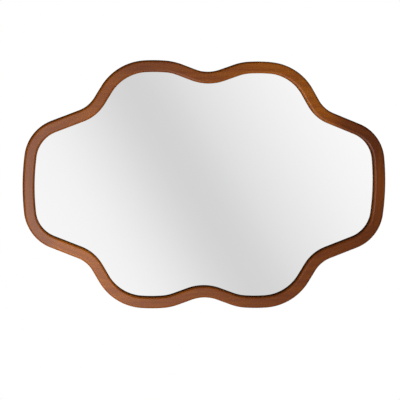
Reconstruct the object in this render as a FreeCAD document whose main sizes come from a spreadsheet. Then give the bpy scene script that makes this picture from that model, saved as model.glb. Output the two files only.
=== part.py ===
import FreeCAD, Part
import math
import os
from dataclasses import dataclass, replace

# A wall mirror whose solid-wood frame runs in and out in six broad lobes.
#
# X runs along the mirror's width, Z up, and -Y out of the wall towards the viewer. The origin is the
# point of the wall behind the mirror's middle, so the wall is the plane Y = 0. Rubber bumpers hold the
# back of the frame a little off the wall. The outline is drawn as round bends joined by straight runs,
# and every edge that follows it (sight edge, rebate, glass, cushion strip, backing board) is the same
# outline drawn at an inset of its own.

SIZES = {
    # outline of the frame, seen from the front
    "overall_width": 914.0,
    "overall_height": 620.0,
    "side_radius": 616.0,  # long shallow bow of the left and right edges
    "shoulder_radius": 104.0,  # rounds off the ends of each side
    "shoulder_rise": 60.0,  # height of the shoulder's centre above the middle of the mirror
    "notch_across": 295.0,  # where the two straights of a notch would meet, from the middle
    "notch_drop": 117.0,  # the same point, down from the level of the top edge
    "notch_radius": 75.0,
    "crown_across": 131.0,  # middle of an upper or lower lobe, from the middle of the mirror
    "crown_radius": 409.0,  # shallow bow of the lobe's edge
    "crown_corner_radius": 135.0,  # rounds off both ends of that bow
    "crown_spread": 18.0,  # sideways step from the lobe's middle to a corner's centre
    "valley_drop": 33.0,  # crown edge to the point where the valley's flanks would meet
    "valley_radius": 92.0,
    # section of the frame
    "face_width": 29.0,
    "frame_depth": 25.0,
    "rebate_width": 9.0,
    "outer_round": 5.0,
    "inner_round": 6.0,
    "back_round": 1.5,
    # what lies in the rebate
    "glass_thickness": 4.0,
    "glass_clearance": 1.5,
    "glass_arris": 0.6,
    "strip_thickness": 2.0,
    "strip_width": 8.0,
    "strip_setback": 0.5,
    "board_thickness": 5.0,
    "board_clearance": 1.0,
    # dowels across the joints of the frame
    "dowel_diameter": 6.0,
    "dowel_length": 32.0,
    "dowel_chamfer": 0.8,
    "dowel_setback": 7.0,  # back of the frame to the first dowel's axis
    "dowel_spacing": 11.0,
    "dowel_end_gap": 1.0,
    "dowel_fit": 0.05,
    # pan-head wood screws
    "screw_diameter": 3.2,
    "screw_head_diameter": 6.6,
    "screw_head_height": 2.2,
    "screw_point": 3.0,
    "button_screw_length": 15.0,
    "hanger_screw_length": 18.0,
    "screw_fit": 0.05,
    "recess_width": 0.9,
    "recess_length": 3.6,
    "recess_depth": 1.2,
    # turn buttons that hold the board in
    "button_thickness": 1.2,
    "button_pivot_radius": 5.5,
    "button_tip_radius": 4.2,
    "button_reach": 14.5,  # pivot to the centre of the tip's round
    "button_edge_round": 0.3,
    "side_button_drop": 34.0,
    # ring hangers
    "hanger_rise": 62.0,  # height of the ring's pin above the middle of the mirror
    "strap_gauge": 0.9,
    "strap_width": 10.0,
    "strap_length": 39.0,
    "strap_fold_angle": 35.0,
    "strap_corner_round": 4.0,
    "strap_first_hole": 21.0,
    "strap_hole_spacing": 12.0,
    "ring_wire": 3.0,
    "ring_width": 16.0,
    "ring_height": 15.0,
    "ring_corner": 2.4,
    "ring_fit": 0.08,
    "ring_rest_gap": 0.3,
    # rubber bumpers
    "bumper_height": 6.0,
    "bumper_diameter": 12.0,
    "bumper_tip_diameter": 9.0,
    "bumper_round": 1.0,
}

UP = FreeCAD.Vector(0, 0, 1)
TO_WALL = FreeCAD.Vector(0, 1, 0)
ALONG = FreeCAD.Vector(1, 0, 0)
MIDDLE = FreeCAD.Vector(0, 0, 0)
HALF_TURN = math.pi
QUARTER_TURN = math.pi / 2
TOUCH = 1e-6

doc = FreeCAD.newDocument("wavy_mirror")
sheet = doc.addObject("Spreadsheet::Sheet", "Sizes")
for row, (alias, value) in enumerate(SIZES.items(), start=1):
    sheet.set(f"A{row}", alias)
    sheet.set(f"B{row}", str(value))
    sheet.setAlias(f"B{row}", alias)
doc.recompute()


def size(alias):
    return float(sheet.get(alias))


def bind(thing, **formulas):
    """Ties properties of an object to cells of the sheet."""
    for name, formula in formulas.items():
        thing.setExpression(name, formula)


# ---------------------------------------------------------------- the outline


@dataclass(frozen=True)
class Bend:
    """A round stretch of the outline, with its end angles in the order of travel."""

    centre: tuple
    radius: float
    start: float
    end: float
    hollow: bool = False

    def reach(self, inset):
        return self.radius + inset if self.hollow else self.radius - inset

    def spot(self, angle, inset=0.0):
        """The point at an angle, on the outline drawn at an inset, as x and z."""
        reach = self.reach(inset)
        return (self.centre[0] + reach * math.cos(angle), self.centre[1] + reach * math.sin(angle))

    def inward(self, angle):
        """Unit vector in the mirror's plane from the outline towards the glass."""
        sign = 1 if self.hollow else -1
        return FreeCAD.Vector(sign * math.cos(angle), 0, sign * math.sin(angle))

    def middle(self):
        return (self.start + self.end) / 2

    def backwards(self):
        return replace(self, start=self.end, end=self.start)

    def flipped(self, across, upward):
        """The same bend in another quarter of the mirror: across and upward are 1 or -1."""
        turned = [self.start, self.end]
        if across < 0:
            turned = [HALF_TURN - angle for angle in turned]
        if upward < 0:
            turned = [-angle for angle in turned]
        centre = (across * self.centre[0], upward * self.centre[1])
        return replace(self, centre=centre, start=turned[0], end=turned[1])


def angle_from(centre, point):
    return math.atan2(point[1] - centre[1], point[0] - centre[0])


def touch_angle(centre, radius, point, side):
    """Where a straight run from a point touches a circle: side is 1 or -1."""
    distance = math.dist(centre, point)
    return angle_from(centre, point) + side * math.acos(radius / distance)


def corner_bend(corner, heading_in, heading_out, radius):
    """The hollow bend that rounds off the corner between two straight runs."""
    half = (heading_in - heading_out) / 2
    back = radius * math.tan(half)
    start = (corner[0] - back * math.cos(heading_in), corner[1] - back * math.sin(heading_in))
    centre = (start[0] + radius * math.sin(heading_in), start[1] - radius * math.cos(heading_in))
    return Bend(centre, radius, heading_in + QUARTER_TURN, heading_out + QUARTER_TURN, hollow=True)


def quarter_outline():
    """Named bends of the upper right quarter, from the right edge up and over to the top valley."""
    side_centre = (size("overall_width") / 2 - size("side_radius"), 0.0)
    inner = size("side_radius") - size("shoulder_radius")
    rise = size("shoulder_rise")
    shoulder_centre = (side_centre[0] + math.sqrt(inner**2 - rise**2), rise)
    side_end = angle_from(side_centre, shoulder_centre)

    top = size("overall_height") / 2
    notch = (size("notch_across"), top - size("notch_drop"))
    shoulder_end = touch_angle(shoulder_centre, size("shoulder_radius"), notch, -1)

    bow_centre = (size("crown_across"), top - size("crown_radius"))
    inner = size("crown_radius") - size("crown_corner_radius")
    spread = size("crown_spread")
    height = math.sqrt(inner**2 - spread**2)
    corner_radius = size("crown_corner_radius")
    outer_centre = (bow_centre[0] + spread, bow_centre[1] + height)
    inner_centre = (bow_centre[0] - spread, bow_centre[1] + height)
    bow_start = angle_from(bow_centre, outer_centre)
    corner_start = touch_angle(outer_centre, corner_radius, notch, 1)

    valley = (0.0, top - size("valley_drop"))
    corner_end = touch_angle(inner_centre, corner_radius, valley, -1)
    valley_heading = corner_end + QUARTER_TURN

    return {
        "side": Bend(side_centre, size("side_radius"), -side_end, side_end),
        "shoulder": Bend(shoulder_centre, size("shoulder_radius"), side_end, shoulder_end),
        "notch": corner_bend(
            notch, shoulder_end + QUARTER_TURN, corner_start + QUARTER_TURN, size("notch_radius")
        ),
        "corner_out": Bend(outer_centre, corner_radius, corner_start, bow_start),
        "bow": Bend(bow_centre, size("crown_radius"), bow_start, HALF_TURN - bow_start),
        "corner_in": Bend(inner_centre, corner_radius, HALF_TURN - bow_start, corner_end),
        "valley": corner_bend(
            valley, valley_heading, 2 * HALF_TURN - valley_heading, size("valley_radius")
        ),
    }


QUARTER = quarter_outline()
LOBE = ["shoulder", "notch", "corner_out", "bow", "corner_in"]


def whole_outline():
    """Every bend of the outline in order, anticlockwise from the right edge."""
    lobe = [QUARTER[name] for name in LOBE]
    upper_right = lobe
    upper_left = [bend.flipped(-1, 1).backwards() for bend in reversed(lobe)]
    lower_left = [bend.flipped(-1, -1) for bend in lobe]
    lower_right = [bend.flipped(1, -1).backwards() for bend in reversed(lobe)]
    side, valley = QUARTER["side"], QUARTER["valley"]
    return (
        [side]
        + upper_right
        + [valley]
        + upper_left
        + [side.flipped(-1, 1).backwards()]
        + lower_left
        + [valley.flipped(1, -1).backwards()]
        + lower_right
    )


def arc_edge(bend, inset):
    low, high = sorted([bend.start, bend.end])
    centre = FreeCAD.Vector(bend.centre[0], bend.centre[1], 0)
    return Part.ArcOfCircle(Part.Circle(centre, UP, bend.reach(inset)), low, high)


def straight_edge(start, end):
    return Part.LineSegment(FreeCAD.Vector(*start, 0), FreeCAD.Vector(*end, 0))


def edges_along(bends, inset, closed=False):
    """Arcs and straight runs of a stretch of the outline at an inset, in sketch coordinates."""
    edges = []
    following = bends[1:] + (bends[:1] if closed else [])
    for bend in bends:
        edges.append(arc_edge(bend, inset))
    for bend, after in zip(bends, following):
        start, end = bend.spot(bend.end, inset), after.spot(after.start, inset)
        if math.dist(start, end) > TOUCH:
            edges.append(straight_edge(start, end))
    return edges


def edges_around(bends, outer_inset, inner_inset):
    """A closed band of the outline between two insets, squared off at both ends."""
    first, last = bends[0], bends[-1]
    edges = edges_along(bends, outer_inset) + edges_along(bends, inner_inset)
    for bend, angle in ((first, first.start), (last, last.end)):
        edges.append(straight_edge(bend.spot(angle, outer_inset), bend.spot(angle, inner_inset)))
    return edges


# ---------------------------------------------------------------- helpers for the bodies


def new_body(label):
    body = doc.addObject("PartDesign::Body", label)
    body.Label = label
    return body


def sketch_on(body, role, edges, name):
    """A sketch on one of the body's own origin planes."""
    sketch = body.newObject("Sketcher::SketchObject", f"{body.Label}_{name}")
    plane = next(f for f in body.Origin.OriginFeatures if f.Role == role)
    sketch.AttachmentSupport = (plane, [""])
    sketch.MapMode = "FlatFace"
    sketch.addGeometry(edges, False)
    return sketch


def pad(body, sketch, length, **settings):
    feature = body.newObject("PartDesign::Pad", f"{sketch.Name}_pad")
    feature.Profile = sketch
    bind(feature, Length=length)
    for name, value in settings.items():
        setattr(feature, name, value)
    doc.recompute()
    return feature


def pocket(body, sketch, length, **settings):
    feature = body.newObject("PartDesign::Pocket", f"{sketch.Name}_pocket")
    before = body.Shape.Volume
    feature.Profile = sketch
    bind(feature, Length=length)
    for name, value in settings.items():
        setattr(feature, name, value)
    doc.recompute()
    if feature.Shape.Volume >= before:
        raise RuntimeError(f"{feature.Name} removes nothing")
    return feature


def drill(body, name, foot, direction, radius, depth):
    """A round hole from a point along a direction, its radius and depth given as formulas."""
    hole = body.newObject("PartDesign::SubtractiveCylinder", f"{body.Label}_{name}")
    bind(hole, Radius=radius, Height=depth)
    hole.Placement = FreeCAD.Placement(foot, FreeCAD.Rotation(UP, direction))
    doc.recompute()
    return hole


def edge_names(shape, wanted):
    return [f"Edge{number}" for number, edge in enumerate(shape.Edges, start=1) if wanted(edge)]


def round_edges(body, wanted, radius, name):
    base = body.Tip
    feature = body.newObject("PartDesign::Fillet", f"{body.Label}_{name}")
    feature.Base = (base, edge_names(base.Shape, wanted))
    bind(feature, Radius=radius)
    doc.recompute()
    return feature


def at_depth(depth):
    """Tells whether an edge lies wholly in the plane that far in front of a body's own back."""

    def test(edge):
        box = edge.BoundBox
        return abs(box.YMin + depth) < 1e-4 and abs(box.YMax + depth) < 1e-4

    return test


def at_height(height):
    """Tells whether an edge lies wholly in the plane that far above a body's own floor."""

    def test(edge):
        box = edge.BoundBox
        return abs(box.ZMin - height) < 1e-4 and abs(box.ZMax - height) < 1e-4

    return test


def stand_off(thing, formula="-Sizes.bumper_height"):
    """Holds a body clear of the wall by the height of the bumpers, or by a formula."""
    thing.setExpression(".Placement.Base.y", formula)


# ---------------------------------------------------------------- frame


def land_middle():
    """Inset of the middle of the frame's back face, where dowels, screws and bumpers sit."""
    return (size("face_width") - size("rebate_width")) / 2


def in_plane(spot, depth=0.0):
    return FreeCAD.Vector(spot[0], -depth, spot[1])


def along(bend, angle):
    """Unit vector along the outline at a joint."""
    return bend.inward(angle).cross(TO_WALL)


def half(bend, first):
    if first:
        return replace(bend, end=bend.middle())
    return replace(bend, start=bend.middle())


def side_bends():
    shoulder = QUARTER["shoulder"]
    return [
        half(shoulder, True).flipped(1, -1).backwards(),
        QUARTER["side"],
        half(shoulder, True),
    ]


def arm_bends():
    return [half(QUARTER["shoulder"], False), half(QUARTER["notch"], True)]


def crown_bends():
    middle = [QUARTER[name] for name in ("corner_out", "bow", "corner_in")]
    return [half(QUARTER["notch"], False)] + middle + [half(QUARTER["valley"], True)]


@dataclass(frozen=True)
class Station:
    """A place on the middle of the frame's back face."""

    bend: Bend
    angle: float

    def place(self):
        return in_plane(self.bend.spot(self.angle, land_middle()))

    def inward(self):
        return self.bend.inward(self.angle)


def flip_all(bends, across, upward):
    return [bend.flipped(across, upward) for bend in bends]


def frame_piece(label, bends, screws):
    """One length of the frame: padded outline, rebate, rounded edges, dowel holes, pilot holes."""
    body = new_body(label)
    face = sketch_on(body, "XZ_Plane", edges_around(bends, 0.0, size("face_width")), "face")
    pad(body, face, "Sizes.frame_depth")
    rebate_wall = size("face_width") - size("rebate_width")
    rebate = sketch_on(
        body, "XZ_Plane", edges_around(bends, rebate_wall, size("face_width")), "rebate"
    )
    rebate_depth = "Sizes.glass_thickness + Sizes.strip_thickness + Sizes.board_thickness"
    pocket(body, rebate, rebate_depth, Reversed=True)

    ends = [(bends[0], bends[0].start), (bends[-1], bends[-1].end)]
    cuts = [(in_plane(bend.spot(angle)), along(bend, angle)) for bend, angle in ends]

    def follows_outline(edge):
        middle = edge.CenterOfMass
        return all(abs((middle - foot).dot(normal)) > 1e-3 for foot, normal in cuts)

    def on_outline(edge, inset):
        start = edge.Vertexes[0].Point
        spots = [in_plane(b.spot(a, inset)) for b in bends for a in (b.start, b.end)]
        return any(math.dist((start.x, start.z), (s.x, s.z)) < 1e-3 for s in spots)

    front, back = at_depth(size("frame_depth")), at_depth(0.0)
    rims = (
        ("outer_round", front, 0.0),
        ("inner_round", front, size("face_width")),
        ("back_round", back, 0.0),
    )
    for name, level, inset in rims:
        round_edges(
            body,
            lambda edge: level(edge) and follows_outline(edge) and on_outline(edge, inset),
            f"Sizes.{name}",
            name,
        )

    for number, (bend, angle) in enumerate(ends, start=1):
        for row in (1, 2):
            drill_dowel(body, f"dowel_{number}_{row}", bend, angle, row)
    for number, (foot, length) in enumerate(screws, start=1):
        drill(
            body,
            f"pilot_{number}",
            foot,
            -TO_WALL,
            "Sizes.screw_diameter / 2 + Sizes.screw_fit",
            f"Sizes.{length}",
        )
    stand_off(body)
    return body


def dowel_middle(bend, angle, row):
    depth = size("dowel_setback") + (row - 1) * size("dowel_spacing")
    return in_plane(bend.spot(angle, land_middle()), depth)


def drill_dowel(body, name, bend, angle, row):
    half_hole = size("dowel_length") / 2 + size("dowel_end_gap")
    direction = along(bend, angle)
    foot = dowel_middle(bend, angle, row) - direction * half_hole
    return drill(
        body,
        name,
        foot,
        direction,
        "Sizes.dowel_diameter / 2 + Sizes.dowel_fit",
        "Sizes.dowel_length + 2 * Sizes.dowel_end_gap",
    )


QUARTERS = {
    "upper_right": (1, 1),
    "upper_left": (-1, 1),
    "lower_left": (-1, -1),
    "lower_right": (1, -1),
}
SIDES = {"right": 1, "left": -1}


def hanger_place(across):
    """The ring's pin, on the middle of the frame's back face at the hanger's height."""
    side = QUARTER["side"]
    angle = math.asin(size("hanger_rise") / side.reach(land_middle()))
    station = Station(side.flipped(across, 1), HALF_TURN - angle if across < 0 else angle)
    return station.place()


def strap_hole_drops():
    first = size("strap_first_hole")
    return [first, first + size("strap_hole_spacing")]


def hanger_holes(across):
    return [hanger_place(across) - UP * drop for drop in strap_hole_drops()]


def side_button(across):
    side = QUARTER["side"]
    angle = -math.asin(size("side_button_drop") / side.radius)
    return Station(side.flipped(across, 1), HALF_TURN - angle if across < 0 else angle)


def corner_button(name, end, across, upward):
    bend = QUARTER[name].flipped(across, upward)
    return Station(bend, bend.end if end else bend.middle())


def button_stations():
    stations = {f"side_{name}": side_button(across) for name, across in SIDES.items()}
    for name, (across, upward) in QUARTERS.items():
        stations[f"arm_{name}"] = corner_button("shoulder", True, across, upward)
        stations[f"crown_{name}"] = corner_button("bow", False, across, upward)
    return stations


def build_frame(buttons):
    pieces = []
    for name, across in SIDES.items():
        bends = flip_all(side_bends(), across, 1)
        screws = [(buttons[f"side_{name}"].place(), "button_screw_length")]
        screws += [(hole, "hanger_screw_length") for hole in hanger_holes(across)]
        pieces.append(frame_piece(f"frame_{name}_side", bends, screws))
    for name, (across, upward) in QUARTERS.items():
        for kind, bends in (("arm", arm_bends()), ("crown", crown_bends())):
            screws = [(buttons[f"{kind}_{name}"].place(), "button_screw_length")]
            label = f"frame_{name}_{kind}"
            pieces.append(frame_piece(label, flip_all(bends, across, upward), screws))
    return pieces


# ---------------------------------------------------------------- fixings in groups


def group(label, master, places):
    """Identical small fixings as one set of separate solids."""
    solids = []
    for place in places:
        solid = master.Shape.copy()
        solid.Placement = place.multiply(master.Shape.Placement)
        solids.append(solid)
    feature = doc.addObject("Part::Feature", label)
    feature.Label = label
    feature.Shape = Part.makeCompound(solids)
    return feature


def build_dowels():
    cylinder = doc.addObject("Part::Cylinder", "dowel_blank")
    bind(cylinder, Radius="Sizes.dowel_diameter / 2", Height="Sizes.dowel_length")
    doc.recompute()
    master = doc.addObject("Part::Chamfer", "dowel")
    master.Base = cylinder
    chamfer = size("dowel_chamfer")
    rims = [n for n, e in enumerate(cylinder.Shape.Edges, start=1) if isinstance(e.Curve, Part.Circle)]
    master.Edges = [(number, chamfer, chamfer) for number in rims]
    doc.recompute()

    joints = []
    for across, upward in QUARTERS.values():
        for name in ("shoulder", "notch"):
            joints.append(QUARTER[name].flipped(across, upward))
    for upward in (1, -1):
        joints.append(QUARTER["valley"].flipped(1, upward))
    places = []
    for bend in joints:
        for row in (1, 2):
            direction = along(bend, bend.middle())
            foot = dowel_middle(bend, bend.middle(), row) - direction * size("dowel_length") / 2
            foot -= TO_WALL * size("bumper_height")
            places.append(FreeCAD.Placement(foot, FreeCAD.Rotation(UP, direction)))
    return group("joint_dowels", master, places)


def screw_master(name, length):
    """A pan-head wood screw standing on its point side down: the head's seat is at the origin."""
    body = new_body(name)
    radius, head = size("screw_diameter") / 2, size("screw_head_diameter") / 2
    height, point, reach = size("screw_head_height"), size("screw_point"), size(length)
    crown = (0.0, height)
    shoulder = (head, height * 0.45)
    bulge = (head * 0.72, height * 0.9)
    outline = [
        straight_edge((0, -reach), (radius, -reach + point)),
        straight_edge((radius, -reach + point), (radius, 0)),
        straight_edge((radius, 0), (head, 0)),
        straight_edge((head, 0), shoulder),
        Part.Arc(*[FreeCAD.Vector(*p, 0) for p in (shoulder, bulge, crown)]),
        straight_edge(crown, (0, -reach)),
    ]
    sketch = sketch_on(body, "XZ_Plane", outline, "profile")
    turned = body.newObject("PartDesign::Revolution", f"{name}_turned")
    turned.Profile = sketch
    turned.ReferenceAxis = (sketch, ["V_Axis"])
    turned.Angle = 360
    doc.recompute()
    for number, turn in enumerate((0, 90), start=1):
        slot = body.newObject("PartDesign::SubtractiveBox", f"{name}_recess_{number}")
        # twice as tall as the recess is deep, so that it runs out past the top of the head
        bind(slot, Length="Sizes.recess_length", Width="Sizes.recess_width")
        bind(slot, Height="2 * Sizes.recess_depth")
        rotation = FreeCAD.Rotation(UP, turn)
        middle = FreeCAD.Vector(size("recess_length") / 2, size("recess_width") / 2, 0)
        foot = UP * (height - size("recess_depth")) - rotation.multVec(middle)
        slot.Placement = FreeCAD.Placement(foot, rotation)
        doc.recompute()
    return body


def build_screws(label, length, spots, seat):
    """Screws with their heads' seats a given distance behind the frame's back face."""
    master = screw_master(f"{label}_blank", length)
    turn = FreeCAD.Rotation(UP, TO_WALL)
    lift = TO_WALL * (seat - size("bumper_height"))
    return group(label, master, [FreeCAD.Placement(spot + lift, turn) for spot in spots])


# ---------------------------------------------------------------- glass, strip, board


def loop_plate(label, thickness, stand, outer_inset, inner_inset=None):
    """A flat plate cut to the outline at an inset, or a band of it between two insets."""
    body = new_body(label)
    loop = whole_outline()
    edges = edges_along(loop, outer_inset, closed=True)
    if inner_inset is not None:
        edges += edges_along(loop, inner_inset, closed=True)
    pad(body, sketch_on(body, "XZ_Plane", edges, "outline"), thickness)
    stand_off(body, stand)
    return body


def rebate_wall():
    return size("face_width") - size("rebate_width")


def build_glass():
    stand = "-(Sizes.bumper_height + Sizes.board_thickness + Sizes.strip_thickness)"
    inset = rebate_wall() + size("glass_clearance")
    body = loop_plate("mirror_glass", "Sizes.glass_thickness", stand, inset)
    arris = body.newObject("PartDesign::Chamfer", "mirror_glass_arris")
    base = body.Group[-2]
    front, back = at_depth(size("glass_thickness")), at_depth(0.0)
    arris.Base = (base, edge_names(base.Shape, lambda edge: front(edge) or back(edge)))
    bind(arris, Size="Sizes.glass_arris")
    doc.recompute()
    return body


def build_strip():
    stand = "-(Sizes.bumper_height + Sizes.board_thickness)"
    outer = rebate_wall() + size("glass_clearance") + size("strip_setback")
    inner = outer + size("strip_width")
    return loop_plate("cushion_strip", "Sizes.strip_thickness", stand, outer, inner)


def build_board():
    inset = rebate_wall() + size("board_clearance")
    return loop_plate("backing_board", "Sizes.board_thickness", "-Sizes.bumper_height", inset)


# ---------------------------------------------------------------- turn buttons


def turn_button(label, station):
    """A flat steel button: a round eye and a narrower tip joined by straight flanks."""
    body = new_body(label)
    eye, tip, reach = size("button_pivot_radius"), size("button_tip_radius"), size("button_reach")
    lean = math.acos((eye - tip) / reach)
    circles = ((0.0, eye, lean, 2 * HALF_TURN - lean), (reach, tip, -lean, lean))
    edges = []
    for across, radius, low, high in circles:
        circle = Part.Circle(FreeCAD.Vector(across, 0, 0), UP, radius)
        edges.append(Part.ArcOfCircle(circle, low, high))
    for side in (1, -1):
        spots = [
            (across + radius * math.cos(lean), side * radius * math.sin(lean))
            for across, radius in ((0.0, eye), (reach, tip))
        ]
        edges.append(straight_edge(*spots))
    hole = Part.Circle(MIDDLE, UP, size("screw_diameter") / 2 + size("screw_fit"))
    sketch = sketch_on(body, "XY_Plane", edges + [hole], "plate")
    pad(body, sketch, "Sizes.button_thickness")

    top = at_height(size("button_thickness"))
    round_edges(
        body,
        lambda edge: top(edge) and abs(edge.BoundBox.Center.x) > TOUCH,
        "Sizes.button_edge_round",
        "edge",
    )
    inward = station.inward()
    turn = FreeCAD.Rotation(inward, TO_WALL.cross(inward), TO_WALL, "ZXY")
    body.Placement = FreeCAD.Placement(station.place(), turn)
    stand_off(body)
    return body


# ---------------------------------------------------------------- ring hangers


def pin_height():
    """Middle of the ring's wire above the frame's back face."""
    return size("strap_gauge") + size("ring_wire") / 2 + size("ring_fit")


def strap(label, across):
    """A steel strip folded round the ring's pin and screwed down through both layers."""
    body = new_body(label)
    gauge = size("strap_gauge")
    bore = size("ring_wire") / 2 + size("ring_fit")
    outer = bore + gauge
    floor, top = -outer, -outer + 2 * gauge
    fold = math.radians(size("strap_fold_angle"))
    normal = (math.cos(fold), -math.sin(fold))
    slope = (-math.sin(fold), -math.cos(fold))
    end = -size("strap_length")

    def foot_of(radius, level):
        start = (radius * normal[0], radius * normal[1])
        run = (level - start[0]) / slope[0]
        return start, (level, start[1] + run * slope[1])

    outer_touch, outer_foot = foot_of(outer, top)
    inner_touch, inner_foot = foot_of(bore, floor + gauge)
    circle_out = Part.Circle(MIDDLE, UP, outer)
    circle_in = Part.Circle(MIDDLE, UP, bore)
    edges = [
        straight_edge((floor, end), (floor, 0)),
        Part.ArcOfCircle(circle_out, -fold, HALF_TURN),
        straight_edge(outer_touch, outer_foot),
        straight_edge(outer_foot, (top, end)),
        straight_edge((top, end), (floor, end)),
        Part.ArcOfCircle(circle_in, -fold, HALF_TURN),
        straight_edge(inner_touch, inner_foot),
        straight_edge(inner_foot, (-bore, 0)),
    ]
    sketch = sketch_on(body, "YZ_Plane", edges, "fold")
    folded = pad(body, sketch, "Sizes.strap_width", Midplane=True)

    def corner(edge):
        box = edge.BoundBox
        return abs(box.ZMin - end) < 1e-4 and abs(box.ZMax - end) < 1e-4 and box.XLength < 1e-4

    rounds = body.newObject("PartDesign::Fillet", f"{label}_corners")
    rounds.Base = (folded, edge_names(folded.Shape, corner))
    bind(rounds, Radius="Sizes.strap_corner_round")
    doc.recompute()
    for number, drop in enumerate(strap_hole_drops(), start=1):
        drill(
            body,
            f"hole_{number}",
            FreeCAD.Vector(0, floor - gauge, -drop),
            TO_WALL,
            "Sizes.screw_diameter / 2 + Sizes.screw_fit",
            "4 * Sizes.strap_gauge",
        )
    place_on_pin(body, across)
    return body


def place_on_pin(body, across, tilt=0.0):
    rotation = FreeCAD.Rotation(ALONG, tilt)
    body.Placement = FreeCAD.Placement(hanger_place(across), rotation)
    height = "Sizes.strap_gauge + Sizes.ring_wire / 2 + Sizes.ring_fit"
    stand_off(body, f"-Sizes.bumper_height + {height}")


def ring(label, across):
    """A round-wire D ring, hanging down from the strap and resting on it."""
    body = new_body(label)
    half_width, height = size("ring_width") / 2, size("ring_height")
    corner = size("ring_corner")
    bow = half_width
    pin_end = half_width - corner
    side_end = -(height - bow)
    path = []
    for side in (1, -1):
        path.append(straight_edge((0, 0), (side * pin_end, 0)))
        path.append(straight_edge((side * half_width, -corner), (side * half_width, side_end)))
        low, high = (0, QUARTER_TURN) if side > 0 else (QUARTER_TURN, HALF_TURN)
        circle = Part.Circle(FreeCAD.Vector(side * pin_end, -corner, 0), UP, corner)
        path.append(Part.ArcOfCircle(circle, low, high))
    circle = Part.Circle(FreeCAD.Vector(0, side_end, 0), UP, bow)
    path.append(Part.ArcOfCircle(circle, HALF_TURN, 2 * HALF_TURN))
    spine = sketch_on(body, "XZ_Plane", path, "path")
    wire = Part.Circle(MIDDLE, UP, size("ring_wire") / 2)
    profile = sketch_on(body, "YZ_Plane", [wire], "wire")
    doc.recompute()
    pipe = body.newObject("PartDesign::AdditivePipe", f"{label}_pipe")
    pipe.Profile = profile
    pipe.Spine = spine
    doc.recompute()
    place_on_pin(body, across, ring_tilt())
    return body


def ring_tilt():
    """Degrees by which the hanging ring leans out to lie on the strap's upper layer."""
    lift = size("strap_gauge") + size("ring_wire") / 2 + size("ring_rest_gap")
    climb = lift - (pin_height() - size("strap_gauge"))
    reach = size("ring_height") - size("ring_wire") / 2
    return math.degrees(math.asin(climb / reach))


# ---------------------------------------------------------------- bumpers


def bumper(label, station):
    """A self-adhesive rubber bumper, widest on the frame and rounded towards the wall."""
    body = new_body(label)
    base, tip = size("bumper_diameter") / 2, size("bumper_tip_diameter") / 2
    height = size("bumper_height")
    spots = [(0, 0), (base, 0), (tip, height), (0, height)]
    edges = [straight_edge(spots[n], spots[(n + 1) % len(spots)]) for n in range(len(spots))]
    sketch = sketch_on(body, "XZ_Plane", edges, "profile")
    turned = body.newObject("PartDesign::Revolution", f"{label}_turned")
    turned.Profile = sketch
    turned.ReferenceAxis = (sketch, ["V_Axis"])
    turned.Angle = 360
    doc.recompute()
    round_edges(body, at_height(height), "Sizes.bumper_round", "rim")
    body.Placement = FreeCAD.Placement(station.place(), FreeCAD.Rotation(UP, TO_WALL))
    stand_off(body)
    return body


# ---------------------------------------------------------------- assembly


def build_all():
    buttons = button_stations()
    nodes = build_frame(buttons)
    nodes.append(build_dowels())
    nodes += [build_glass(), build_strip(), build_board()]
    nodes += [turn_button(f"turn_button_{name}", spot) for name, spot in buttons.items()]
    spots = [station.place() for station in buttons.values()]
    nodes.append(
        build_screws("turn_button_screws", "button_screw_length", spots, size("button_thickness"))
    )
    for name, across in SIDES.items():
        nodes.append(strap(f"hanger_strap_{name}", across))
        nodes.append(ring(f"hanger_ring_{name}", across))
    spots = [hole for across in SIDES.values() for hole in hanger_holes(across)]
    nodes.append(build_screws("hanger_screws", "hanger_screw_length", spots, 2 * size("strap_gauge")))
    for name, (across, upward) in QUARTERS.items():
        station = corner_button("corner_out", False, across, upward)
        nodes.append(bumper(f"wall_bumper_{name}", station))
    return nodes


def check(nodes):
    doc.recompute()
    for thing in doc.Objects:
        if {"Invalid", "Error"} & set(thing.State):
            raise RuntimeError(f"{thing.Name} failed: {thing.State}")
    for node in nodes:
        if node.Shape.isNull() or not node.Shape.isValid():
            raise RuntimeError(f"{node.Label} has no valid shape")


def write(nodes):
    os.makedirs("parts", exist_ok=True)
    for node in nodes:
        node.Shape.exportStep(os.path.join("parts", f"{node.Label}.step"))
        box = node.Shape.BoundBox
        print(
            f"{node.Label}: {len(node.Shape.Solids)} solid(s), {node.Shape.Volume:.0f} mm3, "
            f"{box.XLength:.1f} x {box.YLength:.1f} x {box.ZLength:.1f} mm"
        )


NODES = build_all()
check(NODES)
write(NODES)
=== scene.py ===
import logging
import math
from dataclasses import dataclass, field
from enum import Enum

import bmesh
import bpy
from mathutils import Matrix, Vector


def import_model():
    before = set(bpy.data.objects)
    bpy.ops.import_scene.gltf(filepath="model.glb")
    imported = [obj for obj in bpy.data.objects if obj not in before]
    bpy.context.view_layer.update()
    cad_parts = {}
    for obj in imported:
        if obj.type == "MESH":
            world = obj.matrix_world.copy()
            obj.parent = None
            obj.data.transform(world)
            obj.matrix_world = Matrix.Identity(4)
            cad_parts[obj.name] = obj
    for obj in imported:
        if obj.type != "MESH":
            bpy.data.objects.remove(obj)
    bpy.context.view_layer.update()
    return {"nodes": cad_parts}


log = logging.getLogger("mirror")

Colour = tuple[float, float, float]
Spot = tuple[float, float]
Triple = tuple[float, float, float]
Tree = bpy.types.NodeTree
Node = bpy.types.Node
Socket = bpy.types.NodeSocket

# The grain's bumps to the metre along, across and through the timber.
BAND_SCALE: Triple = (4.0, 110.0, 110.0)
FIBRE_SCALE: Triple = (22.0, 900.0, 900.0)
PORE_SCALE: Triple = (130.0, 2200.0, 2200.0)
DRIFT_SCALE = 7.0

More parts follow.
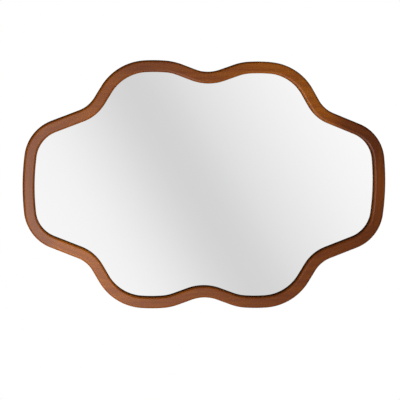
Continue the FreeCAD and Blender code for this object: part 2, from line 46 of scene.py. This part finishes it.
# Where each grain mask starts and ends in its noise, and how far fibres rise and pores sink.
BAND_SPAN: Spot = (0.28, 0.72)
FIBRE_SPAN: Spot = (0.25, 0.75)
PORE_SPAN: Spot = (0.60, 0.72)
FIBRE_RISE = 0.45
PORE_SINK = 0.6

# How much finer grit is than cloud in the speckle, and where both start and end in their noise.
GRIT_FINENESS = 7.0
SPECKLE_SPAN: Spot = (0.3, 0.7)


# ---------------------------------------------------------------- node helpers


class NodeMaker:
    """Adds and joins nodes in one shader tree, with plain calls for what this scene uses often."""

    def __init__(self, tree: Tree) -> None:
        """Starts on a tree.

        Args:
            tree: the node tree of a material, a world or a group.
        """
        self.tree = tree

    def add(self, kind: str, **settings: object) -> Node:
        """Adds a node and sets properties on it.

        Args:
            kind: the node's type, such as "ShaderNodeMath".
            settings: properties of the node by name.

        Returns:
            The new node.
        """
        node = self.tree.nodes.new(kind)
        for name, value in settings.items():
            setattr(node, name, value)
        return node

    def feed(self, socket: Socket, value: object) -> None:
        """Puts a value into a socket.

        Args:
            socket: the input that takes it.
            value: a number, a colour, a vector or another node's output.
        """
        if isinstance(value, bpy.types.NodeSocket):
            self.tree.links.new(value, socket)
        elif isinstance(value, tuple) and len(value) == 3 and socket.type == "RGBA":
            socket.default_value = (*value, 1.0)
        else:
            socket.default_value = value

    def math(self, operation: str, *values: object, clamp: bool = False) -> Socket:
        """A Math node on two or three values.

        Args:
            operation: the operation, such as "MULTIPLY".
            values: numbers or outputs, in order.
            clamp: whether the result is kept between 0 and 1.

        Returns:
            The result's output.
        """
        node = self.add("ShaderNodeMath", operation=operation, use_clamp=clamp)
        for socket, value in zip(node.inputs, values):
            self.feed(socket, value)
        return node.outputs[0]

    def vector(self, operation: str, *values: object) -> Socket:
        """A Vector Math node, whose result is a vector, or a number for a dot product.

        Args:
            operation: the operation, such as "DOT_PRODUCT".
            values: vectors or outputs, in order.

        Returns:
            The result's output.
        """
        node = self.add("ShaderNodeVectorMath", operation=operation)
        for socket, value in zip(node.inputs, values):
            self.feed(socket, value)
        return node.outputs["Value" if operation == "DOT_PRODUCT" else "Vector"]

    def blend(self, share: object, first: object, second: object, how: str = "MIX") -> Socket:
        """Mixes two colours.

        Args:
            share: how much of the second colour, from 0 to 1.
            first: a colour or an output.
            second: a colour or an output.
            how: the blend type, such as "MIX" or "MULTIPLY".

        Returns:
            The mixed colour's output.
        """
        node = self.add("ShaderNodeMix", data_type="RGBA", blend_type=how, clamp_factor=True)
        self.feed(node.inputs[0], share)
        self.feed(node.inputs[6], first)
        self.feed(node.inputs[7], second)
        return node.outputs[2]

    def span(
        self, value: object, low: float, high: float, start: float = 0.0, end: float = 1.0
    ) -> Socket:
        """Maps a value smoothly from one span to another and stops at its ends.

        Args:
            value: a number or an output.
            low: where the first span starts.
            high: where the first span ends.
            start: the result at low.
            end: the result at high.

        Returns:
            The mapped value's output.
        """
        node = self.add("ShaderNodeMapRange", interpolation_type="SMOOTHSTEP", clamp=True)
        for socket, number in zip(node.inputs, (value, low, high, start, end)):
            self.feed(socket, number)
        return node.outputs[0]

    def noise(
        self, vector: Socket, scale: float, detail: float = 2.0, rough: float = 0.5
    ) -> Socket:
        """A Noise texture's grey value.

        Args:
            vector: where the pattern is read.
            scale: how many bumps to the metre.
            detail: how many finer layers are laid over it.
            rough: how strong the finer layers are.

        Returns:
            The pattern's value, about 0.5 on average.
        """
        node = self.add("ShaderNodeTexNoise")
        self.feed(node.inputs["Vector"], vector)
        self.feed(node.inputs["Scale"], scale)
        self.feed(node.inputs["Detail"], detail)
        self.feed(node.inputs["Roughness"], rough)
        return node.outputs[0]

    def bump(self, height: Socket, depth: float, strength: float = 1.0) -> Socket:
        """A Bump node's normal.

        Args:
            height: the height from 0 to 1.
            depth: how far the surface rises in metres from 0 to 1.
            strength: how much of the bump shows.

        Returns:
            The bumped normal's output.
        """
        node = self.add("ShaderNodeBump")
        self.feed(node.inputs["Strength"], strength)
        self.feed(node.inputs["Distance"], depth)
        self.feed(node.inputs["Height"], height)
        return node.outputs[0]


class EffectGroup:
    """A shader node group with named inputs and outputs, built once and placed where needed."""

    def __init__(self, name: str, inputs: dict[str, str], outputs: dict[str, str]) -> None:
        """Makes the empty group.

        Args:
            name: the group's name.
            inputs: each input's name and kind of socket, "Float", "Color" or "Vector".
            outputs: each output's name and kind of socket.
        """
        self.tree = bpy.data.node_groups.new(name, "ShaderNodeTree")
        for way, sockets in (("INPUT", inputs), ("OUTPUT", outputs)):
            for label, kind in sockets.items():
                self.tree.interface.new_socket(label, in_out=way, socket_type=f"NodeSocket{kind}")
        self.make = NodeMaker(self.tree)
        self.given = self.make.add("NodeGroupInput").outputs
        self.result = self.make.add("NodeGroupOutput").inputs

    def place(self, make: NodeMaker, **values: object) -> Node:
        """Puts the group into a material.

        Args:
            make: the material's node maker.
            values: what goes into the group's inputs, by name.

        Returns:
            The group's node.
        """
        node = make.add("ShaderNodeGroup", node_tree=self.tree)
        for label, value in values.items():
            make.feed(node.inputs[label], value)
        return node


def long_fibre_group() -> EffectGroup:
    """Straight wood grain that runs along X: broad bands, fine fibres and short open pores.

    Returns:
        The group, whose Bands, Fibres and Pores go from 0 to 1 and whose Relief is a height.
    """
    group = EffectGroup(
        "long_fibre",
        {"Place": "Vector", "Wander": "Float"},
        {"Bands": "Float", "Fibres": "Float", "Pores": "Float", "Relief": "Float"},
    )
    make = group.make
    drift = make.noise(group.given["Place"], DRIFT_SCALE, 2.0)
    lifted = make.math("MULTIPLY", make.math("SUBTRACT", drift, 0.5), group.given["Wander"])
    sway = make.add("ShaderNodeCombineXYZ")
    make.feed(sway.inputs["Z"], lifted)
    make.feed(sway.inputs["Y"], lifted)
    place = make.vector("ADD", group.given["Place"], sway.outputs[0])
    broad = make.noise(make.vector("MULTIPLY", place, BAND_SCALE), 1.0, 3.0, 0.6)
    fine = make.noise(make.vector("MULTIPLY", place, FIBRE_SCALE), 1.0, 3.0, 0.65)
    dashes = make.noise(make.vector("MULTIPLY", place, PORE_SCALE), 1.0, 1.0, 0.5)
    pores = make.span(dashes, *PORE_SPAN)
    bands = make.span(broad, *BAND_SPAN)
    fibres = make.span(fine, *FIBRE_SPAN)
    make.feed(group.result["Bands"], bands)
    make.feed(group.result["Fibres"], fibres)
    make.feed(group.result["Pores"], pores)
    raised = make.math("MULTIPLY", fibres, FIBRE_RISE)
    relief = make.math("SUBTRACT", raised, make.math("MULTIPLY", pores, PORE_SINK))
    make.feed(group.result["Relief"], relief)
    return group


def speckle_group() -> EffectGroup:
    """Fine two-scale speckle for board, rubber, felt and plated steel.

    Returns:
        The group, whose Cloud is a soft mottle and whose Grit is a fine one.
    """
    group = EffectGroup(
        "speckle", {"Place": "Vector", "Size": "Float"}, {"Cloud": "Float", "Grit": "Float"}
    )
    make = group.make
    coarse = make.math("DIVIDE", 1.0, group.given["Size"])
    fine = make.math("MULTIPLY", coarse, GRIT_FINENESS)
    for label, scale, detail in (("Cloud", coarse, 3.0), ("Grit", fine, 2.0)):
        pattern = make.noise(group.given["Place"], scale, detail)
        make.feed(group.result[label], make.span(pattern, *SPECKLE_SPAN))
    return group


class Finish:
    """What the finishes share: a material with a Principled BSDF and the node's own coordinates."""

    def __init__(self, name: str) -> None:
        """Starts the material.

        Args:
            name: the material's name.
        """
        self.material = bpy.data.materials.new(name)
        self.material.use_nodes = True
        self.make = NodeMaker(self.material.node_tree)
        self.shader = self.material.node_tree.nodes["Principled BSDF"]
        self.place = self.make.add("ShaderNodeTexCoord").outputs["Object"]

    def set(self, **values: object) -> None:
        """Feeds the shader's inputs.

        Args:
            values: what goes into each input, named with underscores for spaces.
        """
        for name, value in values.items():
            self.make.feed(self.shader.inputs[name.replace("_", " ")], value)

    def dress(self, piece: bpy.types.Object) -> None:
        """Gives the material to a piece's slots in place of what it had."""
        piece.data.materials.clear()
        piece.data.materials.append(self.material)


@dataclass(frozen=True)
class WoodFinish:
    """Brown stained wood under a thin satin lacquer, with painted shade on the wall round the
    opening and on the outer edge.
    """

    light: Colour = (0.156, 0.0375, 0.0008)
    dark: Colour = (0.116, 0.0235, 0.0005)
    pore: Colour = (0.060, 0.0130, 0.0008)
    golden: float = 0.28
    fibre_shades: Spot = (0.94, 1.05)
    pore_share: float = 0.4
    # painted shade: the wall round the opening, a recess the light does not reach, is darkened to
    # this share of its colour
    painted_wall_shade: float = 0.35
    sight_slopes: Spot = (0.12, 0.60)
    # painted shade: the outer edge and outer wall, turned away from the light, are darkened to this
    # share of their colour
    painted_edge_shade: float = 0.42
    outer_slopes: Spot = (0.20, 0.80)
    turn_in: Spot = (-0.04, 0.04)
    turn_out: Spot = (0.0, 0.08)
    bare_share: float = 0.1
    roughness: float = 0.55
    roughness_spread: Spot = (0.05, -0.03)
    lacquer: float = 0.16
    lacquer_roughness: float = 0.39
    wander: float = 0.018
    relief: float = 0.00002

    def tone(self, make: NodeMaker, place: Socket, length: "Length") -> Socket:
        """How light a length is along it, from its low end by its middle to its high end: partly
        the tone of its timber and partly painted light, lighter towards the lower left where the
        light falls.

        Args:
            make: the material's node maker.
            place: the length's own coordinates.
            length: the length.

        Returns:
            The tone, 1 where the wood has its plain colours.
        """
        parts = make.add("ShaderNodeSeparateXYZ")
        make.feed(parts.inputs[0], place)
        spot = parts.outputs["Z" if length.upright else "X"]
        first, middle, last = length.light_and_timber_tones
        low, high = length.ends
        centre = (low + high) / 2
        rising = make.span(spot, low, centre, first, middle)
        return make.math("MULTIPLY", rising, make.span(spot, centre, high, 1.0, last / middle))

    def edge_masks(self, make: NodeMaker, place: Socket) -> tuple[Socket, Socket]:
        """Finds the walls of the frame by which way they face, for the painted shade and the
        thinner lacquer on them.

        Args:
            make: the material's node maker.
            place: the length's own coordinates.

        Returns:
            The masks of the wall round the opening and of the outer wall.
        """
        normal = make.add("ShaderNodeNewGeometry").outputs["True Normal"]
        parts = make.add("ShaderNodeSeparateXYZ")
        make.feed(parts.inputs[0], normal)
        upright = make.math("ABSOLUTE", parts.outputs["Y"])
        flat = make.vector("MULTIPLY", place, (1.0, 0.0, 1.0))
        outward = make.vector("DOT_PRODUCT", normal, flat)
        steep = make.span(upright, *self.sight_slopes, 1.0, 0.0)
        sight = make.math("MULTIPLY", steep, make.span(outward, *self.turn_in, 1.0, 0.0))
        steep = make.span(upright, *self.outer_slopes, 1.0, 0.0)
        outer = make.math("MULTIPLY", steep, make.span(outward, *self.turn_out))
        return sight, outer

    def make(self, length: "Length", fibre: EffectGroup) -> Finish:
        """Makes the finish of one length of the frame.

        Args:
            length: the length, with its grain and its tones.
            fibre: the grain group.

        Returns:
            The finish.
        """
        finish = Finish(length.node)
        make = finish.make
        turned = make.add("ShaderNodeMapping", vector_type="POINT")
        make.feed(turned.inputs["Vector"], finish.place)
        turned.inputs["Rotation"].default_value = (0.0, length.angle, 0.0)
        turned.inputs["Location"].default_value = length.offset
        grain = fibre.place(make, Place=turned.outputs[0], Wander=self.wander).outputs
        colour = make.blend(grain["Bands"], self.dark, self.light)
        wall, outer = self.edge_masks(make, finish.place)
        tone = self.tone(make, finish.place, length)
        streaks = make.span(grain["Fibres"], 0.0, 1.0, *self.fibre_shades)
        shade = make.math("MULTIPLY", streaks, tone)
        # painted shade: the wall round the opening is darkened in the colour
        shade = make.math("MULTIPLY", shade, make.span(wall, 0.0, 1.0, 1.0, self.painted_wall_shade))
        # painted shade: the outer edge is darkened in the colour
        shade = make.math("MULTIPLY", shade, make.span(outer, 0.0, 1.0, 1.0, self.painted_edge_shade))
        fibred = make.vector("SCALE", colour)
        make.feed(fibred.node.inputs["Scale"], shade)
        # the green rises with the tone, so the wood is more golden where the tone is higher, the
        # painted light included
        golden = make.add("ShaderNodeCombineXYZ")
        for socket, value in zip(golden.inputs, (1.0, make.math("POWER", tone, self.golden), 1.0)):
            make.feed(socket, value)
        fibred = make.vector("MULTIPLY", fibred, golden.outputs[0])
        open_pores = make.math("MULTIPLY", grain["Pores"], self.pore_share)
        pored = make.blend(open_pores, fibred, self.pore)
        spread = [self.roughness + part for part in self.roughness_spread]
        rough = make.span(grain["Fibres"], 0.0, 1.0, *spread)
        walls = make.math("MAXIMUM", wall, outer)
        bare = self.bare_share * self.lacquer
        finish.set(
            Base_Color=pored,
            Roughness=rough,
            Specular_IOR_Level=0.0,
            Coat_Weight=make.span(walls, 0.0, 1.0, self.lacquer, bare),
            Coat_Roughness=self.lacquer_roughness,
            Normal=make.bump(grain["Relief"], self.relief),
        )
        return finish


@dataclass(frozen=True)
class MirrorFinish:
    """Silvered float glass, seen from the front as a plain mirror."""

    silver: Colour = (0.985, 0.988, 0.985)
    backing: Colour = (0.16, 0.175, 0.18)
    backing_roughness: float = 0.45
    turn_back: Spot = (0.2, 0.8)

    def make(self) -> Finish:
        """Makes the finish: a mirror in front and round the edge, grey backing paint behind.

        Returns:
            The finish.
        """
        finish = Finish("mirror_silver")
        make = finish.make
        facing = make.add("ShaderNodeSeparateXYZ")
        make.feed(facing.inputs[0], make.add("ShaderNodeNewGeometry").outputs["True Normal"])
        back = make.span(facing.outputs["Y"], *self.turn_back)
        finish.set(
            Base_Color=make.blend(back, self.silver, self.backing),
            Metallic=make.math("SUBTRACT", 1.0, back),
            Roughness=make.span(back, 0.0, 1.0, 0.0, self.backing_roughness),
        )
        return finish


@dataclass(frozen=True)
class SpeckledFinish:
    """A matt material with a fine speckle: board, felt, rubber or bare beech."""

    name: str
    pale: Colour
    deep: Colour
    size: float
    roughness: float
    relief: float
    sheen: float = 0.0
    specular: float = 0.3
    cloud_share: float = 0.4
    roughness_spread: Spot = (-0.06, 0.04)

    def make(self, speckle: EffectGroup) -> Finish:
        """Makes the finish.

        Args:
            speckle: the speckle group.

        Returns:
            The finish.
        """
        finish = Finish(self.name)
        make = finish.make
        grit = speckle.place(make, Place=finish.place, Size=self.size).outputs
        cloud = make.math("MULTIPLY", grit["Cloud"], self.cloud_share)
        fine = make.math("MULTIPLY", grit["Grit"], 1.0 - self.cloud_share)
        mottle = make.math("ADD", cloud, fine)
        spread = [self.roughness + part for part in self.roughness_spread]
        finish.set(
            Base_Color=make.blend(mottle, self.deep, self.pale),
            Roughness=make.span(grit["Cloud"], 0.0, 1.0, *spread),
            Specular_IOR_Level=self.specular,
            Sheen_Weight=self.sheen,
            Normal=make.bump(grit["Grit"], self.relief),
        )
        return finish


@dataclass(frozen=True)
class PlatedFinish:
    """Plated steel with fine rolling lines along one direction and a slight mottle."""

    name: str
    bright: Colour
    dull: Colour
    roughness: float
    lines: Vector
    mottle_size: float = 0.004
    line_span: Spot = (0.3, 0.7)
    roughness_spread: Spot = (-0.07, 0.09)
    relief: float = 0.00001

    def make(self, speckle: EffectGroup) -> Finish:
        """Makes the finish.

        Args:
            speckle: the speckle group.

        Returns:
            The finish.
        """
        finish = Finish(self.name)
        make = finish.make
        grit = speckle.place(make, Place=finish.place, Size=self.mottle_size).outputs
        brushed = make.noise(make.vector("MULTIPLY", finish.place, tuple(self.lines)), 1.0, 2.0)
        mottle = make.math("MULTIPLY", grit["Cloud"], brushed)
        spread = [self.roughness + part for part in self.roughness_spread]
        finish.set(
            Base_Color=make.blend(mottle, self.bright, self.dull),
            Metallic=1.0,
            Roughness=make.span(brushed, *self.line_span, *spread),
            Normal=make.bump(brushed, self.relief),
        )
        return finish


# ---------------------------------------------------------------- the mirror's sub-assemblies


class Side(Enum):
    """The two sides of the mirror, as seen from the front."""

    RIGHT = 1
    LEFT = -1


class Level(Enum):
    """The two halves of the mirror."""

    UPPER = 1
    LOWER = -1


@dataclass(frozen=True)
class Length:
    """One length of the frame: which way its grain runs, and how light it is along it, partly from
    its timber and partly painted light.
    """

    node: str
    angle: float
    light_and_timber_tones: Triple
    ends: Spot
    upright: bool
    offset: Vector


@dataclass
class WoodFrame:
    """The ten dowelled lengths of the frame and the dowels between them."""

    fibre: EffectGroup
    finish: WoodFinish = field(default_factory=WoodFinish)
    dowel: SpeckledFinish = SpeckledFinish(
        "beech_dowel", (0.66, 0.46, 0.27), (0.50, 0.33, 0.18), 0.004, 0.6, 0.00003
    )
    arm_slope: float = 0.44
    notch_across: float = 0.30
    shoulder_across: float = 0.41
    shoulder_rise: float = 0.12
    side_offset: Triple = (0.3, 0.1, 0.7)
    arm_offset: Triple = (1.7, 0.9, 0.4)
    crown_offset: float = 1.9
    # how light each length is at its low end, middle and high end: partly timber that differs from
    # length to length and partly painted light, lighter towards the lower left where the light
    # falls
    light_and_timber_tones: dict[str, Triple] = field(
        default_factory=lambda: {
            "right_side": (0.73, 1.08, 0.62),
            "left_side": (1.14, 1.04, 1.14),
            "upper_right_arm": (1.52, 0.74, 0.62),
            "upper_right_crown": (1.22, 1.50, 1.64),
            "upper_left_arm": (1.14, 1.20, 1.38),
            "upper_left_crown": (1.38, 0.94, 1.22),
            "lower_left_arm": (1.14, 1.62, 1.70),
            "lower_left_crown": (1.70, 1.22, 1.06),
            "lower_right_arm": (0.88, 0.82, 0.73),
            "lower_right_crown": (1.06, 0.84, 0.88),
        }
    )

    def length(
        self, name: str, angle: float, ends: Spot, upright: bool, offset: Vector
    ) -> Length:
        """One length by the name of its place in the frame, its ends given low end first."""
        return Length(f"frame_{name}", angle, self.light_and_timber_tones[name], ends, upright, offset)

    def lengths(self) -> list[Length]:
        """Lists the ten lengths.

        Returns:
            The lengths, with the grain of each along its own chord.
        """
        found = []
        upright_ends = (-self.shoulder_rise, self.shoulder_rise)
        for side in Side:
            name = f"{side.name.lower()}_side"
            across, through, up = self.side_offset
            shift = Vector((across * side.value, through, up))
            found.append(self.length(name, math.pi / 2, upright_ends, True, shift))
            for level in Level:
                way = side.value * level.value
                stem = f"{level.name.lower()}_{side.name.lower()}"
                across, through, up = self.arm_offset
                shift = Vector((across * side.value, through * level.value, up))
                notch, shoulder = side.value * self.notch_across, side.value * self.shoulder_across
                arm, crown = tuple(sorted((notch, shoulder))), tuple(sorted((0.0, notch)))
                slope = -way * self.arm_slope
                found.append(self.length(f"{stem}_arm", slope, arm, False, shift))
                shift = shift * self.crown_offset
                found.append(self.length(f"{stem}_crown", 0.0, crown, False, shift))
        return found

    def dress(self, nodes: dict[str, bpy.types.Object], speckle: EffectGroup) -> None:
        """Gives each length its own finish, with its tones that are partly painted light, and the
        dowels theirs.

        Args:
            nodes: the CAD nodes by name.
            speckle: the speckle group.
        """
        for length in self.lengths():
            self.finish.make(length, self.fibre).dress(nodes[length.node])
            log.info("%s: grain at %.0f degrees", length.node, math.degrees(length.angle))
        self.dowel.make(speckle).dress(nodes["joint_dowels"])
        log.info("joint_dowels: %s", self.dowel.name)


@dataclass
class GlassPack:
    """The mirror glass, the cushion strip behind its edge and the backing board."""

    silver: MirrorFinish = field(default_factory=MirrorFinish)
    strip: SpeckledFinish = SpeckledFinish(
        "black_felt", (0.035, 0.035, 0.036), (0.012, 0.012, 0.013), 0.003, 0.9, 0.0003, sheen=0.3
    )
    board: SpeckledFinish = SpeckledFinish(
        "fibre_board", (0.40, 0.275, 0.155), (0.33, 0.222, 0.122), 0.006, 0.72, 0.00006
    )

    def dress(self, nodes: dict[str, bpy.types.Object], speckle: EffectGroup) -> None:
        """Gives the three layers their finishes.

        Args:
            nodes: the CAD nodes by name.
            speckle: the speckle group.
        """
        layers = {
            "mirror_glass": self.silver.make(),
            "cushion_strip": self.strip.make(speckle),
            "backing_board": self.board.make(speckle),
        }
        for name, finish in layers.items():
            finish.dress(nodes[name])
            log.info("%s: %s", name, finish.material.name)


@dataclass
class Hardware:
    """Turn buttons, screws, hangers and bumpers on the back."""

    button: PlatedFinish = PlatedFinish(
        "zinc_button", (0.66, 0.67, 0.68), (0.47, 0.48, 0.50), 0.30, Vector((260.0, 260.0, 2600.0))
    )
    strap: PlatedFinish = PlatedFinish(
        "zinc_strap", (0.64, 0.65, 0.66), (0.45, 0.46, 0.48), 0.32, Vector((2600.0, 260.0, 140.0))
    )
    ring: PlatedFinish = PlatedFinish(
        "nickel_ring", (0.70, 0.69, 0.66), (0.56, 0.55, 0.53), 0.20, Vector((500.0, 500.0, 500.0))
    )
    screw: PlatedFinish = PlatedFinish(
        "zinc_screw", (0.62, 0.62, 0.60), (0.42, 0.42, 0.41), 0.28, Vector((900.0, 900.0, 900.0))
    )
    bumper: SpeckledFinish = SpeckledFinish(
        "black_rubber", (0.030, 0.030, 0.031), (0.016, 0.016, 0.017), 0.002, 0.62, 0.00003
    )

    def dress(self, nodes: dict[str, bpy.types.Object], speckle: EffectGroup) -> None:
        """Gives each fitting its finish.

        Args:
            nodes: the CAD nodes by name.
            speckle: the speckle group.
        """
        kinds = {
            "turn_button_screws": self.screw,
            "hanger_screws": self.screw,
            "turn_button_": self.button,
            "hanger_strap_": self.strap,
            "hanger_ring_": self.ring,
            "wall_bumper_": self.bumper,
        }
        made = {finish.name: finish.make(speckle) for finish in kinds.values()}
        for name, node in nodes.items():
            kind = next((finish for stem, finish in kinds.items() if name.startswith(stem)), None)
            if kind:
                made[kind.name].dress(node)
                log.info("%s: %s", name, kind.name)


# ---------------------------------------------------------------- studio


class Lights(Enum):
    """What a softbox lights: only the colour of things, or only their gloss."""

    COLOUR = "colour"
    GLOSS = "gloss"


@dataclass(frozen=True)
class Lamp:
    """A softbox that looks at a point of the mirror."""

    name: str
    place: Vector
    aim: Vector
    width: float
    height: float
    power: float
    lights: Lights = Lights.COLOUR

    def light(self, glass: bpy.types.Object) -> None:
        """Hangs the softbox, and keeps one that lights only gloss from standing in the mirror.

        Args:
            glass: the mirror glass.
        """
        data = bpy.data.lights.new(self.name, "AREA")
        data.shape = "RECTANGLE"
        data.size = self.width
        data.size_y = self.height
        data.energy = self.power
        lamp = bpy.data.objects.new(self.name, data)
        lamp.location = self.place
        lamp.rotation_euler = (self.aim - self.place).to_track_quat("-Z", "Y").to_euler()
        lamp.visible_camera = False
        lamp.visible_diffuse = self.lights is Lights.COLOUR
        lamp.visible_glossy = self.lights is Lights.GLOSS
        bpy.context.scene.collection.objects.link(lamp)
        if self.lights is Lights.GLOSS:
            kept_out = bpy.data.collections.new(f"{self.name}_kept_out")
            kept_out.objects.link(glass)
            kept_out.collection_objects[0].light_linking.link_state = "EXCLUDE"
            lamp.light_linking.receiver_collection = kept_out


@dataclass
class Studio:
    """Camera, soft lamps, a white surround and a pale floor well below the hung mirror."""

    glass: bpy.types.Object
    camera_place: Vector = field(default_factory=lambda: Vector((-0.6974, -4.9806, 0.4384)))
    camera_aim: Vector = field(default_factory=lambda: Vector((0.0, -0.0185, 0.0)))
    camera_roll: float = math.radians(0.98)
    focal_length: float = 180.9
    shift: Spot = (-0.0148, -0.0376)
    floor_height: float = -1.45
    floor_reach: float = 3.6
    floor_fade: Spot = (0.45, 0.97)
    floor_colour: Colour = (0.80, 0.80, 0.80)
    floor_glow: float = 0.85
    fill: float = 0.41
    fill_from: Triple = (-0.35, -0.85, -0.40)
    band_across: Triple = (1.683, 0.1292, 1.046)
    band_stops: tuple[Spot, ...] = (
        (-1.90, 0.70), (-0.45, 0.90), (-0.20, 0.95), (-0.10, 0.92), (-0.05, 0.79), (0.0, 0.60),
        (0.05, 0.75), (0.12, 0.90), (0.20, 0.985), (0.30, 1.00), (0.60, 1.00), (1.90, 0.72),
    )
    band_stretch: float = 0.25
    glass_shows: Triple = (0.14, -0.985, -0.09)
    aside: Colour = (0.78, 0.78, 0.78)
    aside_span: Spot = (0.60, 0.96)
    lamps: tuple[Lamp, ...] = (
        Lamp(
            "strip", Vector((-0.43, -2.2, -0.74)), Vector((-0.1, 0, 0)), 0.2, 1.64, 136.0,
            Lights.GLOSS,
        ),
        Lamp("key", Vector((-1.2, -2.2, -1.0)), Vector((0, 0, 0)), 1.0, 1.0, 83.0),
        Lamp("behind_right", Vector((2.5, 2.3, -0.3)), Vector((0, 0, 0)), 1.8, 1.8, 62.0),
        Lamp("behind_left", Vector((-2.5, 2.3, 0.3)), Vector((0, 0, 0)), 1.8, 1.8, 62.0),
        Lamp("behind_above", Vector((0.2, 2.2, 2.6)), Vector((0, 0, 0)), 1.8, 1.2, 62.0),
    )

    def set_camera(self) -> None:
        """Places the camera left of the mirror and a little above it."""
        data = bpy.data.cameras.new("camera")
        data.sensor_width = 36.0
        data.lens = self.focal_length
        data.shift_x, data.shift_y = self.shift
        camera = bpy.data.objects.new("camera", data)
        look = (self.camera_aim - self.camera_place).to_track_quat("-Z", "Y").to_matrix()
        camera.matrix_world = (look @ Matrix.Rotation(self.camera_roll, 3, "Z")).to_4x4()
        camera.location = self.camera_place
        bpy.context.scene.collection.objects.link(camera)
        bpy.context.scene.camera = camera

    def mirrored_room(self, make: NodeMaker, direction: Socket) -> Socket:
        """What the mirror shows of the room: a bright surround with a soft grey band across it.

        Args:
            make: the world's node maker.
            direction: the way a ray leaves.

        Returns:
            The room's colour in that direction.
        """
        across = make.vector("DOT_PRODUCT", direction, self.band_across)
        ramp = make.add("ShaderNodeValToRGB")
        make.feed(ramp.inputs[0], make.math("MULTIPLY_ADD", across, self.band_stretch, 0.5))
        ramp.color_ramp.interpolation = "B_SPLINE"
        elements = ramp.color_ramp.elements
        while len(elements) < len(self.band_stops):
            elements.new(0.5)
        for element, (spot, grey) in zip(elements, self.band_stops):
            element.position = self.band_stretch * spot + 0.5
            element.color = (grey, grey, grey, 1.0)
        ahead = make.vector("DOT_PRODUCT", direction, self.glass_shows)
        level = make.blend(make.span(ahead, *self.aside_span), self.aside, (1.0, 1.0, 1.0))
        return make.blend(1.0, ramp.outputs[0], level, "MULTIPLY")

    def body_light(self, make: NodeMaker, direction: Socket) -> Socket:
        """The dim light that the room adds to colours, strongest from the lower left in front.

        Args:
            make: the world's node maker.
            direction: the way a ray leaves.

        Returns:
            The light's colour in that direction.
        """
        facing = make.vector("DOT_PRODUCT", direction, self.fill_from)
        dim = make.add("ShaderNodeCombineColor")
        for socket in dim.inputs:
            make.feed(socket, make.span(facing, -0.1, 1.0, 0.05 * self.fill, self.fill))
        return dim.outputs[0]

    def set_surround(self) -> None:
        """Makes the world: white to the camera, the room to the mirror, a dim fill to the rest."""
        world = bpy.data.worlds.new("surround")
        world.use_nodes = True
        bpy.context.scene.world = world
        make = NodeMaker(world.node_tree)
        background = world.node_tree.nodes["Background"]
        path = make.add("ShaderNodeLightPath").outputs
        direction = make.add("ShaderNodeTexCoord").outputs["Generated"]
        room = self.mirrored_room(make, direction)
        seen = make.blend(path["Is Camera Ray"], room, (1.0, 1.0, 1.0))
        level = make.blend(self.shown(make, path), self.body_light(make, direction), seen)
        make.feed(background.inputs["Color"], level)

    def shown(self, make: NodeMaker, path: bpy.types.NodeOutputs) -> Socket:
        """Whether a ray is seen: by the camera, in a gloss or through glass.

        Args:
            make: the node maker.
            path: the outputs of a Light Path node.

        Returns:
            The mask, 1 where the ray is seen.
        """
        seen = make.math("MAXIMUM", path["Is Camera Ray"], path["Is Glossy Ray"])
        return make.math("MAXIMUM", seen, path["Is Transmission Ray"])

    def lay_floor(self) -> None:
        """Lays a round pale floor, white where no shadow falls, that fades out at its rim."""
        mesh = bpy.data.meshes.new("floor")
        disc = bmesh.new()
        bmesh.ops.create_circle(disc, cap_ends=True, radius=self.floor_reach, segments=96)
        bmesh.ops.translate(disc, verts=disc.verts, vec=(0.0, 0.0, self.floor_height))
        disc.to_mesh(mesh)
        disc.free()
        floor = bpy.data.objects.new("floor", mesh)
        bpy.context.scene.collection.objects.link(floor)
        material = bpy.data.materials.new("pale_floor")
        material.use_nodes = True
        make = NodeMaker(material.node_tree)
        shader = material.node_tree.nodes["Principled BSDF"]
        seen = self.shown(make, make.add("ShaderNodeLightPath").outputs)
        shader.inputs["Base Color"].default_value = (*self.floor_colour, 1.0)
        shader.inputs["Roughness"].default_value = 0.9
        shader.inputs["Specular IOR Level"].default_value = 0.0
        shader.inputs["Emission Color"].default_value = (1.0, 1.0, 1.0, 1.0)
        glow = make.math("MULTIPLY", seen, self.floor_glow)
        make.feed(shader.inputs["Emission Strength"], glow)
        spot = make.add("ShaderNodeTexCoord").outputs["Object"]
        reach = make.add("ShaderNodeVectorMath", operation="LENGTH")
        make.feed(reach.inputs[0], make.vector("MULTIPLY", spot, (1.0, 1.0, 0.0)))
        fade_start, fade_end = (share * self.floor_reach for share in self.floor_fade)
        cover = make.span(reach.outputs["Value"], fade_start, fade_end, 1.0, 0.0)
        make.feed(shader.inputs["Alpha"], cover)
        mesh.materials.append(material)

    def build(self) -> None:
        """Sets up the whole studio."""
        scene = bpy.context.scene
        scene.view_settings.view_transform = "Standard"
        self.set_camera()
        self.set_surround()
        self.lay_floor()
        for lamp in self.lamps:
            lamp.light(self.glass)
        log.info("studio set with %d lamps", len(self.lamps))


def main() -> None:
    """Loads the frame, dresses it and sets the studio."""
    logging.basicConfig(level=logging.INFO, format="%(name)s: %(message)s")
    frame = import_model()
    nodes = frame["nodes"]
    fibre = long_fibre_group()
    speckle = speckle_group()
    WoodFrame(fibre).dress(nodes, speckle)
    GlassPack().dress(nodes, speckle)
    Hardware().dress(nodes, speckle)
    Studio(nodes["mirror_glass"]).build()


if __name__ == "__main__":
    main()
